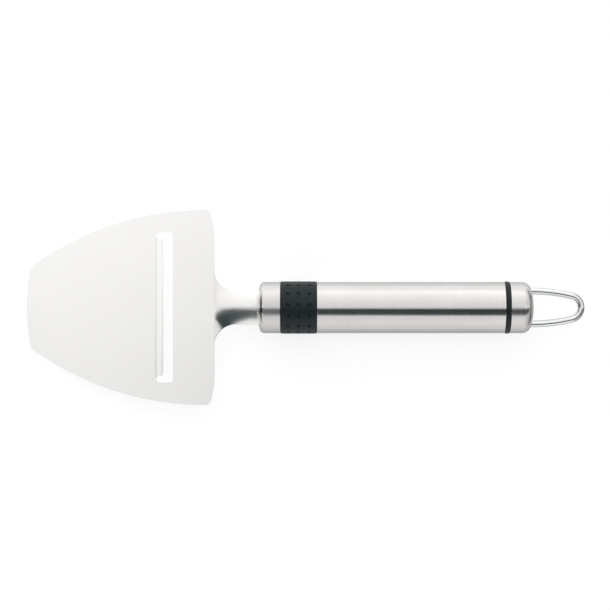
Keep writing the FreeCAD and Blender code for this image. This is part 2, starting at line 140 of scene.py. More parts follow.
def share(name, description, value):
    return FloatProperty(name=name, description=description, default=value, soft_max=1.0, subtype="FACTOR")


def count(name, description, value):
    return IntProperty(name=name, description=description, default=value, min=1)


def colour(name, description, code):
    return FloatVectorProperty(
        name=name, description=description, default=linear(code), size=3, min=0.0, max=1.0, subtype="COLOR"
    )


class BladeSettings(bpy.types.PropertyGroup):
    """Sizes and finish of the stamped blade"""

    plate_length: length("Plate length", "From the tip to the shoulder, along the plate", 82.2)
    side_radius: length("Side radius", "Curve of the plate's two sides", 130)
    side_straight: length("Side straight", "Straight run beside each shoulder corner", 2.6)
    tip_radius: length("Tip radius", "Curve of the plate's front edge", 90)
    tip_corner: length("Tip corner", "Rounding between the front edge and a side", 3.4)
    shoulder_radius: length("Shoulder radius", "Curve of the outer shoulder", 40)
    shoulder_curve: length("Shoulder curve", "How far in from the side the shoulder curves", 13.1)
    shoulder_corner: length("Shoulder corner", "Rounding between a shoulder and a side", 2.2)
    slot_setback: length("Slot setback", "From the shoulder to the slot's far edge", 18)
    slot_gap: length("Slot gap", "From the lip's edge to the slot's far edge, seen flat", 4.6)
    slot_margin: length("Slot margin", "Sheet left beside each end of the slot", 9.6)
    slot_corner: length("Slot corner", "Rounding of the slot's far corners", 1.3)
    lip_length: length("Lip length", "From the bend's start to the cutting edge", 3.0)
    lip_relief: length("Lip relief", "Radius of the round notch beside the lip", 1.4)
    lip_corner: length("Lip corner", "Rounding of the lip's free corners", 1.04)
    lip_bend_radius: length("Lip bend radius", "Of the middle of the sheet", 1.2)
    lip_bend: turn_angle("Lip bend", "How far the lip turns down", 22)
    lip_bevel: length("Lip bevel", "Width of the ground face", 0.9)
    lip_land: length("Lip land", "Thickness left at the cutting edge", 0.2)
    neck_width: length("Neck width", "Between the neck's two edges", 14.6)
    neck_fillet: length("Neck fillet", "Flare from the neck to the shoulder", 8.8)
    neck_bend: length("Neck bend", "Length over which the plate turns down", 15)
    neck_straight: length("Neck straight", "Level run in front of the ferrule", 3.1)
    channel_radius: length("Channel radius", "Curve across the neck, at the middle of the sheet", 15.5)
    channel_start: length("Channel start", "Half width of the pressed channel at the shoulder", 4.5)
    channel_spread: length("Channel spread", "How much the half width grows along the bend", 5.5)
    tang_width: length("Tang width", "Of the strip inside the handle", 11)
    tang_taper: length("Tang taper", "Length over which the neck narrows to the tang", 1.0)
    thickness: length("Thickness", "Of the sheet", 1.0)
    deburr: length("Deburr", "Rounding of the sheet's stamped edges", 0.14)
    steel: colour("Steel", "Tone of the satin sheet", "#F5F4F2")
    roughness: share("Roughness", "Of the satin sheet", 0.13)
    dull_neck: length("Dull neck", "Length of the neck that grows duller towards the ferrule", 14)


class HandleSettings(bpy.types.PropertyGroup):
    """Sizes and finish of the tube, its two caps and the wire loop"""

    tube_wall: length("Tube wall", "Thickness of the tube", 1.0)
    tube_edge: length("Tube edge", "Rounding of the tube's ends", 0.3)
    ferrule_wall: length("Ferrule wall", "Thickness of the front cup", 0.8)
    ferrule_dome: length("Ferrule dome", "Curve of the front cup's end", 32)
    ferrule_corner: length("Ferrule corner", "Rounding between dome and side", 1.8)
    cap_wall: length("Cap wall", "Thickness of the rear cup", 0.8)
    cap_dome: length("Cap dome", "Curve of the rear cup's end", 28.5)
    cap_corner: length("Cap corner", "Rounding between dome and side", 4.0)
    cup_rim: length("Cup rim", "Rounding of both cups' rims", 0.25)
    neck_gap: length("Neck gap", "Clearance around the neck in the ferrule", 0.15)
    leg_gap: length("Leg gap", "Clearance around the wire in the cap", 0.05)
    wire: length("Wire", "Diameter of the loop's wire", 2.9)
    leg_flare: length("Leg flare", "Height and growth of the riveted end of a leg", 0.6)
    leg_inset: length("Leg inset", "From the tube's side to the middle of a leg", 3.95)
    loop_narrowing: length("Loop narrowing", "How much closer the loop's sides come at its end", 1.9)
    steel: colour("Brushed steel", "Tone of the tube and its caps", "#D8D6D4")
    ferrule_roughness: share("Ferrule roughness", "Of the brushed front cup", 0.34)
    tube_roughness: share("Tube roughness", "Of the brushed tube", 0.185)
    cap_roughness: share("Cap roughness", "Of the brushed rear cup", 0.27)
    polished_end: length("Polished end", "From the ferrule's front to the end of its polish", 2.4)
    brushed_start: length("Brushed start", "From the ferrule's front to its full brushing", 3.2)
    wire_steel: colour("Wire steel", "Tone of the polished wire", "#E2E3E4")
    wire_roughness: share("Wire roughness", "Of the polished wire", 0.13)
    core_nylon: colour("Core nylon", "Tone of the mouldings inside the handle", "#3C3C3E")
    inner_steel: colour("Inner steel", "Tone of the turned pieces inside the handle", "#CACACB")


class GripSettings(bpy.types.PropertyGroup):
    """Sizes and finish of the two soft rings"""

    thickness: length("Thickness", "Of both soft rings", 1.7)
    grip_edge: length("Grip edge", "Rounding of the grip ring's edges", 0.5)
    ring_edge: length("Ring edge", "Rounding of the rear ring's edges", 0.714)
    dimple: length("Dimple", "Diameter of a dimple", 1.5)
    dimple_depth: length("Dimple depth", "From the ring's surface to a dimple's floor", 0.6)
    dimple_rim: length("Dimple rim", "Rounding of a dimple's rim", 0.06)
    pitch: length("Pitch", "Between columns of dimples", 4.55)
    columns: count("Columns", "Dimples along the handle", 3)
    rows: count("Rows", "Dimples around the handle", 14)
    first_row: turn_angle("First row", "From straight up towards +Y", 6)
    rubber: colour("Rubber", "Tone of the soft rings", "#131A1E")
    roughness: share("Roughness", "Of the soft rings", 0.42)


class StageSettings(bpy.types.PropertyGroup):
    """Camera, floor and light"""

    distance: length("Camera distance", "Above the handle's axis", 950)
    view_width: length("View width", "Width of the picture at the handle's axis", 261.3)
    aim_x: length("Aim X", "Middle of the picture along the handle", 0.33)
    aim_y: length("Aim Y", "Middle of the picture across the handle", 1.07)
    floor_size: length("Floor size", "Side of the floor", 6000)
    floor_tone: colour("Floor", "Tone of the pale floor", "#A0A0A0")
    seen_glow: share("Seen glow", "Light of the floor itself towards the camera", 0.77)
    # Painted shade in the floor's glow towards the steel: dimmer on the -Y side, and lowest just -Y of the
    # handle as its painted shadow
    dim_glow: share("Dim glow", "Light of the floor itself towards the steel, far out on the -Y side", 0.60)
    lit_glow: share("Lit glow", "Light of the floor itself towards the steel, far out on the +Y side", 0.95)
    painted_shadow_glow: share("Low glow", "Light of the floor itself towards the steel, close to the handle", 0.25)
    glow_reach: length("Glow reach", "How far from the handle the floor's light grows", 60)
    painted_shadow_place: length("Low place", "Where across the handle the floor's light is lowest", -10)
    gap_tone: colour("Gap", "Tone of the dark gap between the light panels", "#343E40")


# Modelling by hand


def object_mode():
    bpy.ops.object.mode_set(mode="OBJECT")


def edit_mode():
    bpy.ops.object.mode_set(mode="EDIT")


def name_piece(name):
    """Names the primitive just added, puts its place into its mesh and opens it."""
    piece = bpy.context.object
    piece.name = name
    piece.data.name = name
    bpy.ops.object.transform_apply(location=True, rotation=True, scale=True)
    edit_mode()
    return piece


def start_point(name, place):
    """A new piece that is a single vertex."""
    bpy.ops.object.select_all(action="DESELECT")
    bpy.ops.mesh.primitive_plane_add(size=MM, location=place)
    piece = name_piece(name)
    bpy.ops.mesh.merge(type="CENTER")
    return piece


def start_circle(name, radius, place, vertices):
    """A new piece that is an open ring around a line along X."""
    bpy.ops.object.select_all(action="DESELECT")
    bpy.ops.mesh.primitive_circle_add(
        vertices=vertices, radius=radius, location=place, rotation=(0, math.pi / 2, 0)
    )
    return name_piece(name)


def pick(piece, kind, test):
    """Selects the vertices, edges or faces that pass a test, and nothing else."""
    bpy.ops.mesh.select_mode(type=kind)
    bpy.ops.mesh.select_all(action="DESELECT")
    mesh = bmesh.from_edit_mesh(piece.data)
    elements = {"VERT": mesh.verts, "EDGE": mesh.edges, "FACE": mesh.faces}[kind]
    for element in elements:
        if test(element):
            element.select_set(True)
    mesh.select_flush_mode()
    bmesh.update_edit_mesh(piece.data)


def draw_out(move):
    """Extrudes what is selected."""
    bpy.ops.mesh.extrude_region_move(TRANSFORM_OT_translate={"value": move})


def swing(centre, start, end, axis=(0, 0, 1), steps=ROUND_STEPS):
    """Extrudes what is selected along an arc, anticlockwise about the axis from one angle to another."""
    # The spin operator counts its angle clockwise
    bpy.ops.mesh.spin(steps=steps, angle=start - end, center=centre, axis=axis)


def merge_all():
    bpy.ops.mesh.select_mode(type="VERT")
    bpy.ops.mesh.select_all(action="SELECT")
    bpy.ops.mesh.remove_doubles(threshold=MERGE_DISTANCE)
    bpy.ops.mesh.normals_make_consistent(inside=False)


def modify(piece, kind, **settings):
    """Adds a modifier to a piece in object mode and applies it."""
    modifier = piece.modifiers.new(kind.title(), kind)
    for name, value in settings.items():
        setattr(modifier, name, value)
    bpy.context.view_layer.objects.active = piece
    bpy.ops.object.modifier_apply(modifier=modifier.name)


def mirror_across(piece):
    """Adds the -Y half of a piece in edit mode, merges the two and leaves edit mode."""
    object_mode()
    modify(piece, "MIRROR", use_axis=(False, True, False), merge_threshold=MERGE_DISTANCE)
    edit_mode()
    merge_all()
    object_mode()


def cut_away(piece, cutter):
    """Cuts one closed piece out of another and removes the cutter."""
    modify(piece, "BOOLEAN", operation="DIFFERENCE", solver="EXACT", object=cutter)
    bpy.data.objects.remove(cutter)


def finish_piece(piece, node, material):
    """Gives a piece its shading and finish, and puts it in the place of its node."""
    object_mode()
    bpy.ops.object.select_all(action="DESELECT")
    piece.select_set(True)
    bpy.context.view_layer.objects.active = piece
    bpy.ops.object.shade_smooth_by_angle(angle=SMOOTH_ANGLE)
    modify(piece, "WEIGHTED_NORMAL", keep_sharp=True)
    piece.data.materials.append(material)
    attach(piece, "root")
    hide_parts(node)


def slot_of(node):
    return next(s["material_slot"] for s in frame["record"]["subparts"] if s["node"] == node)


# Round pieces of the handle


def arc_stations(centre_x, centre_radius, radius, start, end):
    """Stations (x, radius) along a quarter or less of a round edge, angles in radians from +X."""
    steps = [start + (end - start) * i / ROUND_STEPS for i in range(ROUND_STEPS + 1)]
    return [(centre_x + radius * math.cos(a), centre_radius + radius * math.sin(a)) for a in steps]


def turned_piece(name, stations):
    """A ring of the first station's radius, drawn out along the handle through the other stations."""
    x, radius = stations[0]
    piece = start_circle(name, radius, (x, 0, axis_height), HANDLE_SEGMENTS)
    for next_x, next_radius in stations[1:]:
        scale = next_radius / radius
        draw_out((next_x - x, 0, 0))
        bpy.ops.transform.resize(value=(1, scale, scale), center_override=(next_x, 0, axis_height))
        x, radius = next_x, next_radius
    merge_all()
    return piece


def sleeve_stations(x_start, x_end, outer, inner, edge):
    """The outline of a sleeve's wall, with rounded outer edges, back to its start."""
    front = arc_stations(x_start + edge, outer - edge, edge, math.pi, math.pi / 2)
    rear = arc_stations(x_end - edge, outer - edge, edge, math.pi / 2, 0)
    return front + rear + [(x_end, inner), (x_start, inner), front[0]]


def dome_stations(apex, towards, radius, corner, dome):
    """From near the apex of a domed end, round its corner and onto its side."""
    depth = dome - math.sqrt((dome - corner) ** 2 - (radius - corner) ** 2)
    turn = math.atan2(radius - corner, dome - depth)
    first = turn / ROUND_STEPS / ROUND_STEPS
    crown = arc_stations(0, 0, dome, first, turn)
    bend = arc_stations(dome - depth, radius - corner, corner, turn, math.pi / 2)
    return [(apex + towards * (x - dome), r) for x, r in crown + bend[1:]]


def domed_cup(name, apex, rim, wall, corner, dome, rim_radius):
    """A drawn cup from its domed end to its rim, closed at both poles."""
    towards = math.copysign(1.0, apex - rim)
    outer = dome_stations(apex, towards, tube_radius, corner, dome)
    inner = dome_stations(apex - towards * wall, towards, tube_radius - wall, corner - wall, dome - wall)
    quarter = arc_stations(0, tube_radius - rim_radius, rim_radius, math.pi / 2, math.pi)
    rounding = [(rim + towards * (x + rim_radius), r) for x, r in quarter]
    piece = turned_piece(name, outer + rounding + [(rim, tube_radius - wall)] + inner[::-1])
    bpy.ops.mesh.fill_holes(sides=0)
    merge_all()
    object_mode()
    return piece


def channel_strip(name, half_width, x_start, x_end, sheet):
    """A bar with the neck's curved section, as a cutter."""
    blade = bpy.context.scene.slicer_blade
    crown = blade_high.z - blade.thickness / 2
    half_turn = math.asin(half_width / blade.channel_radius)
    piece = start_point(name, (x_start, 0, crown))
    swing((x_start, 0, crown - blade.channel_radius), 0, -half_turn, (1, 0, 0), 2 * ROUND_STEPS)
    bpy.ops.mesh.select_all(action="SELECT")
    draw_out((x_end - x_start, 0, 0))
    object_mode()
    modify(piece, "MIRROR", use_axis=(False, True, False), merge_threshold=MERGE_DISTANCE)
    modify(piece, "SOLIDIFY", thickness=sheet, offset=0.0, use_even_offset=True)
    edit_mode()
    merge_all()
    object_mode()
    return piece


def wire_pegs(name, radius, offset, x_start, x_end):
    """Two straight bars where the loop's legs go through the cap, as a cutter."""
    piece = start_circle(name, radius, (x_start, offset, axis_height), CIRCLE_STEPS)
    draw_out((x_end - x_start, 0, 0))
    bpy.ops.mesh.select_all(action="SELECT")
    bpy.ops.mesh.fill_holes(sides=0)
    mirror_across(piece)
    return piece


class SLICER_OT_front_ferrule(bpy.types.Operator):
    """Draws the front cup and opens it where the neck goes in"""

    bl_idname = "slicer.front_ferrule"
    bl_label = "Front ferrule"

    def execute(self, context):
        handle = context.scene.slicer_handle
        blade = context.scene.slicer_blade
        sizes = (handle.ferrule_wall, handle.ferrule_corner, handle.ferrule_dome, handle.cup_rim)
        ferrule = domed_cup("ferrule_cup", ferrule_low.x, ferrule_high.x, *sizes)
        half_width = blade.neck_width / 2 + handle.neck_gap
        sheet = blade.thickness + 2 * handle.neck_gap
        x_front = ferrule_low.x - blade.neck_straight
        cut_away(ferrule, channel_strip("neck_opening", half_width, x_front, core_low.x, sheet))
        finish = brushed_stainless("brushed_ferrule_steel", handle.ferrule_roughness, 1.0)
        finish_piece(ferrule, "front_ferrule", finish)
        return {"FINISHED"}


class SLICER_OT_handle_tube(bpy.types.Operator):
    """Draws the tube that the hand holds"""

    bl_idname = "slicer.handle_tube"
    bl_label = "Handle tube"

    def execute(self, context):
        handle = context.scene.slicer_handle
        stations = sleeve_stations(
            handle_low.x, handle_high.x, tube_radius, tube_radius - handle.tube_wall, handle.tube_edge
        )
        tube = turned_piece("handle_tube_steel", stations)
        finish = brushed_stainless("brushed_tube_steel", handle.tube_roughness, 0.0)
        finish_piece(tube, "handle_tube", finish)
        return {"FINISHED"}


class SLICER_OT_end_cap(bpy.types.Operator):
    """Draws the rear cup and drills it for the loop's legs"""

    bl_idname = "slicer.end_cap"
    bl_label = "End cap"

    def execute(self, context):
        handle = context.scene.slicer_handle
        sizes = (handle.cap_wall, handle.cap_corner, handle.cap_dome, handle.cup_rim)
        cap = domed_cup("end_cap_cup", cap_high.x, cap_low.x, *sizes)
        radius = handle.wire / 2 + handle.leg_gap
        offset = tube_radius - handle.leg_inset
        cut_away(cap, wire_pegs("leg_holes", radius, offset, cap_low.x, cap_high.x + handle.wire))
        finish = brushed_stainless("brushed_cap_steel", handle.cap_roughness, -1.0)
        finish_piece(cap, "end_cap", finish)
        return {"FINISHED"}


class SLICER_OT_hanging_loop(bpy.types.Operator):
    """Bends the wire loop from a straight leg, a long side and a round end"""

    bl_idname = "slicer.hanging_loop"
    bl_label = "Hanging loop"

    def execute(self, context):
        handle = context.scene.slicer_handle
        radius = handle.wire / 2
        offset = tube_radius - handle.leg_inset
        tip_radius = offset - handle.loop_narrowing
        x_leg_end = cap_high.x - handle.cap_dome + math.sqrt(handle.cap_dome**2 - offset**2)
        x_tip = loop_high.x - radius - tip_radius
        run = x_tip - x_leg_end
        side_radius = (run**2 + offset**2 - tip_radius**2) / (2 * handle.loop_narrowing)
        side_turn = math.atan2(run, side_radius - offset)
        flared = radius + handle.leg_flare
        x_leg = loop_low.x + handle.leg_flare
        loop = start_circle("loop_wire", flared, (loop_low.x, offset, axis_height), CIRCLE_STEPS)
        draw_out((handle.leg_flare, 0, 0))
        scale = radius / flared
        bpy.ops.transform.resize(value=(1, scale, scale), center_override=(x_leg, offset, axis_height))
        draw_out((x_leg_end - x_leg, 0, 0))
        quarter = math.pi / 2
        side_centre = (x_leg_end, offset - side_radius, axis_height)
        swing(side_centre, quarter, quarter - side_turn, steps=3 * ROUND_STEPS)
        swing((x_tip, 0, axis_height), quarter - side_turn, 0, steps=3 * ROUND_STEPS)
        mirror_across(loop)
        edit_mode()
        bpy.ops.mesh.fill_holes(sides=0)
        merge_all()
        finish_piece(loop, "hanging_loop", polished_wire())
        return {"FINISHED"}


# The soft rings


def dimple_cell(settings, radius):
    """One flat cell of the grip in the XZ plane: a rectangle with a round dimple sunk towards +Y."""
    arc = 2 * math.pi * radius / settings.rows
    ball = ((settings.dimple / 2) ** 2 + settings.dimple_depth**2) / (2 * settings.dimple_depth)
    x_first = (grip_low.x + grip_high.x - (settings.columns - 1) * settings.pitch) / 2
    bpy.ops.object.select_all(action="DESELECT")
    bpy.ops.mesh.primitive_plane_add(size=1.0, location=(x_first, 0, 0), rotation=(math.pi / 2, 0, 0))
    piece = name_piece("grip_sleeve")
    bpy.ops.transform.resize(value=(settings.pitch, 1, arc), center_override=(x_first, 0, 0))
    bpy.ops.mesh.subdivide(number_cuts=ROUND_STEPS - 1)
    pick(piece, "VERT", lambda v: not v.is_boundary)
    bpy.ops.mesh.delete(type="VERT")
    rim = settings.dimple / 2 + settings.dimple_rim
    bpy.ops.mesh.primitive_circle_add(
        vertices=CIRCLE_STEPS, radius=rim, location=(x_first, 0, 0), rotation=(math.pi / 2, 0, 0)
    )
    bpy.ops.mesh.select_all(action="SELECT")
    bpy.ops.mesh.bridge_edge_loops(number_cuts=DIMPLE_RINGS, interpolation="LINEAR")
    pick(piece, "VERT", lambda v: abs((v.co - Vector((x_first, 0, 0))).length - rim) < PLACE_TOLERANCE)
    depth = 0.0
    width = rim
    for new_width, new_depth in bowl_stations(rim, settings.dimple_rim, ball, settings.dimple_depth):
        draw_out((0, new_depth - depth, 0))
        scale = new_width / width
        bpy.ops.transform.resize(value=(scale, 1, scale), center_override=(x_first, 0, 0))
        width, depth = new_width, new_depth
    bpy.ops.mesh.merge(type="CENTER")
    merge_all()
    object_mode()
    return piece, arc


def bowl_stations(rim, rim_rounding, ball, depth):
    """Widths and depths from a dimple's rim down to its floor."""
    steps = 2 * ROUND_STEPS
    stations = []
    for i in range(1, steps):
        width = rim * (1 - i / steps)
        bowl = depth - (ball - math.sqrt(ball**2 - width**2))
        blend = min(1.0, (rim - width) / (2 * rim_rounding))
        stations.append((width, max(0.0, bowl) * blend * blend * (3 - 2 * blend)))
    return stations


def turn_edges_over(grip, settings):
    """Rounds both long edges of the flat grip and draws its back between them."""
    edge_rows = (
        (grip_low.x, 1, lambda x: x < grip_low.x + settings.pitch / 4),
        (grip_high.x, -1, lambda x: x > grip_high.x - settings.pitch / 4),
    )
    for x_end, inward, near in edge_rows:
        pick(grip, "EDGE", lambda e: e.is_boundary and all(near(v.co.x) for v in e.verts))
        x = next(v.co.x for v in bmesh.from_edit_mesh(grip.data).verts if v.select)
        depth = 0.0
        for offset, reach in arc_stations(0, settings.grip_edge, settings.grip_edge, math.pi / 2, math.pi):
            new_x = x_end + inward * (settings.grip_edge + offset)
            new_depth = 2 * settings.grip_edge - reach
            draw_out((new_x - x, new_depth - depth, 0))
            x, depth = new_x, new_depth
        draw_out((0, settings.thickness - depth, 0))
    draw_out((grip_low.x - grip_high.x, 0, 0))


class SLICER_OT_grip_ring(bpy.types.Operator):
    """Lays out the dimpled grip flat, turns its edges over and rolls it up"""

    bl_idname = "slicer.grip_ring"
    bl_label = "Grip ring"

    def execute(self, context):
        settings = context.scene.slicer_grip
        radius = (grip_high.z - grip_low.z) / 2
        grip, arc = dimple_cell(settings, radius)
        for copies, step in ((settings.columns, (settings.pitch, 0, 0)), (settings.rows, (0, 0, arc))):
            modify(
                grip,
                "ARRAY",
                count=copies,
                use_relative_offset=False,
                use_constant_offset=True,
                constant_offset_displace=step,
                use_merge_vertices=True,
                merge_threshold=MERGE_DISTANCE,
            )
        edit_mode()
        turn_edges_over(grip, settings)
        bpy.ops.mesh.select_all(action="SELECT")
        middle = arc * (settings.rows - 1) / 2
        bpy.ops.transform.translate(value=(0, 0, -middle))
        merge_all()
        object_mode()
        modify(grip, "SIMPLE_DEFORM", deform_method="BEND", deform_axis="X", angle=2 * math.pi)
        edit_mode()
        merge_all()
        bpy.ops.transform.translate(value=(0, -radius, axis_height))
        bpy.ops.transform.rotate(
            value=settings.first_row, orient_axis="X", center_override=(0, 0, axis_height)
        )
        object_mode()
        finish_piece(grip, "grip_ring", moulded_rubber("soft_grip_rubber"))
        return {"FINISHED"}


class SLICER_OT_rear_ring(bpy.types.Operator):
    """Draws the narrow trim ring between tube and cap"""

    bl_idname = "slicer.rear_ring"
    bl_label = "Rear ring"

    def execute(self, context):
        settings = context.scene.slicer_grip
        radius = (ring_high.z - ring_low.z) / 2
        stations = sleeve_stations(
            ring_low.x, ring_high.x, radius, radius - settings.thickness, settings.ring_edge
        )
        ring = turned_piece("trim_ring", stations)
        finish_piece(ring, "rear_ring", moulded_rubber("soft_trim_rubber"))
        return {"FINISHED"}


# The blade


def front_crossing(first, first_radius, second, second_radius):
    """Of the two points where two circles cross, the one nearer to the blade's tip."""
    apart = second - first
    along = (first_radius**2 - second_radius**2 + apart.length**2) / (2 * apart.length)
    aside = math.sqrt(first_radius**2 - along**2)
    forward = apart.normalized()
    across = Vector((-forward.y, forward.x))
    return min((first + forward * along + across * s * aside for s in (-1, 1)), key=lambda p: p.x)


def bearing(centre, place):
    """The angle of a place seen from a centre, from +X, between 0 and a full turn."""
    return math.atan2(place.y - centre.y, place.x - centre.x) % (2 * math.pi)


def neck_rows(settings):
    """Rows (x, half width, height, share of the channel's growth) of the sheet from tang to shoulder."""
    x_bend_end = ferrule_low.x - settings.neck_straight
    x_shoulder = x_bend_end - settings.neck_bend
    half_neck = settings.neck_width / 2
    half_tang = settings.tang_width / 2
    plan = [
        (blade_high.x, half_tang),
        (core_low.x + settings.tang_taper, half_tang),
        (core_low.x, half_neck),
    ]
    flare_start = x_shoulder + settings.neck_fillet
    for i in range(ROUND_STEPS):
        plan.append((x_bend_end + (flare_start - x_bend_end) * i / ROUND_STEPS, half_neck))
    for i in range(2 * ROUND_STEPS + 1):
        turn = math.pi / 2 * (1 - i / (2 * ROUND_STEPS))
        x = x_shoulder + settings.neck_fillet * (1 - math.cos(turn))
        plan.append((x, half_neck + settings.neck_fillet * (1 - math.sin(turn))))
    crown = blade_high.z - settings.thickness / 2
    bend_radius = settings.neck_bend / math.sin(droop)
    rows = []
    for x, half in plan:
        before_end = max(0.0, x_bend_end - x)
        tilt = math.asin(before_end / bend_radius)
        height = crown - bend_radius * (1 - math.cos(tilt))
        rows.append((x, half, height, 1 - before_end / settings.neck_bend))
    return rows


def channel_fall(settings, growth, y):
    """How far the sheet lies below its crown: an arc that turns back to level beyond the channel's side."""
    eased = growth * (1 + CHANNEL_EASE) / (growth + CHANNEL_EASE)
    curve = eased * growth**CHANNEL_POWER / settings.channel_radius
    side = settings.channel_start + settings.channel_spread * growth

    def arc(distance):
        return distance * math.tan(math.asin(curve * distance) / 2)

    if y <= side:
        return arc(y)
    return 2 * arc(side) - arc(max(0.0, 2 * side - y))


def draw_neck(settings, rows):
    """The +Y half of the sheet's middle from tang to shoulder, drawn flat and pressed to a channel."""
    x, half, height = rows[0][:3]
    piece = start_point("blade_sheet", (x, 0, height))
    for _ in range(NECK_COLUMNS):
        draw_out((0, half / NECK_COLUMNS, 0))
    bpy.ops.mesh.select_all(action="SELECT")
    for new_x, new_half, new_height, _ in rows[1:]:
        draw_out((new_x - x, 0, new_height - height))
        bpy.ops.transform.resize(value=(1, new_half / half, 1), center_override=(new_x, 0, new_height))
        x, half, height = new_x, new_half, new_height
    for x, half, height, growth in rows:
        for column in range(1, NECK_COLUMNS + 1):
            place = Vector((x, half * column / NECK_COLUMNS, height))
            pick(piece, "VERT", lambda v: (v.co - place).length < PLACE_TOLERANCE)
            bpy.ops.transform.translate(value=(0, 0, -channel_fall(settings, growth, place.y)))
    return piece


def draw_plate(piece, settings, x_shoulder, level):
    """The +Y half of the plate, level with the shoulder, as one face whose outline goes round the slot."""
    half = (blade_high.y - blade_low.y) / 2
    half_slot = half - settings.slot_margin
    x_tip = x_shoulder - settings.plate_length
    x_far = x_shoulder - settings.slot_setback
    x_root = x_far - settings.slot_gap - settings.lip_length
    shoulder = Vector((x_shoulder - settings.shoulder_radius, half - settings.shoulder_curve))
    shoulder_turn = math.asin(settings.shoulder_curve / settings.shoulder_radius)
    x_corner = shoulder.x + settings.shoulder_radius * math.cos(shoulder_turn)
    side = Vector((x_corner - settings.side_straight, half - settings.side_radius))
    tip = Vector((x_tip + settings.tip_radius, 0))
    reach = settings.shoulder_radius - settings.shoulder_corner
    corner_y = half - settings.shoulder_corner
    corner = Vector((shoulder.x + math.sqrt(reach**2 - (corner_y - shoulder.y) ** 2), corner_y))
    tip_corner = front_crossing(
        tip, settings.tip_radius - settings.tip_corner, side, settings.side_radius - settings.tip_corner
    )
    corner_turn = bearing(shoulder, corner)
    side_turn = bearing(side, tip_corner)
    tip_turn = bearing(tip, tip_corner)
    notch = Vector((x_root + settings.lip_relief, half_slot - settings.lip_relief))
    far = Vector((x_far - settings.slot_corner, half_slot - settings.slot_corner))
    quarter = math.pi / 2

    def go(x, y):
        place = next(v.co for v in bmesh.from_edit_mesh(piece.data).verts if v.select)
        bpy.ops.mesh.extrude_vertices_move(TRANSFORM_OT_translate={"value": Vector((x, y, level)) - place})

    def bend(centre, start, end, steps=ROUND_STEPS):
        swing((centre.x, centre.y, level), start, end, steps=steps)

    widest = settings.neck_width / 2 + settings.neck_fillet
    pick(piece, "VERT", lambda v: (v.co - Vector((x_shoulder, widest, level))).length < PLACE_TOLERANCE)
    go(x_shoulder, shoulder.y)
    bend(shoulder, 0, corner_turn)
    bend(corner, corner_turn, quarter)
    go(side.x, half)
    bend(side, quarter, side_turn, 5 * ROUND_STEPS)
    bend(tip_corner, side_turn, tip_turn)
    bend(tip, tip_turn, 2 * quarter, 3 * ROUND_STEPS)
    go(x_root, 0)
    go(x_root, notch.y)
    bend(notch, 2 * quarter, quarter)
    go(far.x, half_slot)
    bend(far, quarter, 0)
    go(x_far, 0)
    go(x_shoulder, 0)
    merge_all()
    pick(piece, "VERT", lambda v: v.co.x < x_shoulder + PLACE_TOLERANCE)
    bpy.ops.mesh.edge_face_add()
    draw_lip(piece, settings, x_root, notch.y, level)


def lip_rows(settings, half_root):
    """Stations (distance, fall, half width) of the lip's middle, from its bend to its cutting edge."""
    relief = settings.lip_relief
    corner = settings.lip_corner
    bend_reach = settings.lip_bend_radius * math.sin(settings.lip_bend)
    overhang = settings.thickness / 2 * math.sin(settings.lip_bend)
    quarter = [math.pi / 2 * i / ROUND_STEPS for i in range(1, ROUND_STEPS + 1)]
    plan = [(relief * (1 - math.cos(a)), half_root - relief * math.sin(a)) for a in quarter]
    side = half_root - relief
    start = settings.lip_length - corner
    plan += [(start, side)]
    plan += [(start + corner * math.sin(a), side - corner * (1 - math.cos(a))) for a in quarter]
    plan += [(settings.lip_length + overhang, side - corner)]
    rows = []
    for distance, half in plan:
        turn = math.asin(min(distance, bend_reach) / settings.lip_bend_radius)
        fall = settings.lip_bend_radius * (1 - math.cos(turn))
        fall += max(0.0, distance - bend_reach) * math.tan(settings.lip_bend)
        rows.append((distance, fall, half))
    return rows


def draw_lip(piece, settings, x_root, half_root, level):
    """The lip beside the slot, drawn out of its root line and turned down."""
    ends = [Vector((x_root, 0, level)), Vector((x_root, half_root, level))]
    pick(piece, "VERT", lambda v: min((v.co - end).length for end in ends) < PLACE_TOLERANCE)
    distance, fall, half = 0.0, 0.0, half_root
    for new_distance, new_fall, new_half in lip_rows(settings, half_root):
        draw_out((new_distance - distance, 0, fall - new_fall))
        bpy.ops.transform.resize(value=(1, new_half / half, 1), center_override=(x_root, 0, level))
        distance, fall, half = new_distance, new_fall, new_half


def grind_lip(piece, settings, x_shoulder, level):
    """Grinds the lip's top to a cutting edge."""
    tilt = Matrix.Translation((x_shoulder, 0, level)) @ Matrix.Rotation(-droop, 4, "Y")
    x_root = -settings.slot_setback - settings.slot_gap - settings.lip_length
    turn = settings.lip_bend
    lower = settings.lip_bend_radius - settings.thickness / 2
    straight = (settings.lip_length - lower * math.sin(turn)) / math.cos(turn)
    along = Vector((math.cos(turn), 0, -math.sin(turn)))
    outward = Vector((math.sin(turn), 0, math.cos(turn)))
    root = Vector((x_root, 0, -settings.lip_bend_radius))
    edge = root + outward * (lower + settings.lip_land) + along * straight
    heel = root + outward * (lower + settings.thickness) + along * (straight - settings.lip_bevel)
    face = (edge - heel).normalized()
    normal = tilt.to_3x3() @ Vector((-face.z, 0, face.x))
    x_low = (tilt @ Vector((x_root, 0, 0))).x + PLACE_TOLERANCE
    x_high = (tilt @ Vector((x_root + settings.lip_length + settings.thickness, 0, 0))).x
    half_slot = (blade_high.y - blade_low.y) / 2 - settings.slot_margin
    edit_mode()
    pick(piece, "FACE", lambda f: all(x_low < v.co.x < x_high and abs(v.co.y) < half_slot for v in f.verts))
    bpy.ops.mesh.bisect(plane_co=tilt @ edge, plane_no=normal, use_fill=True, clear_outer=True)
    merge_all()
    object_mode()


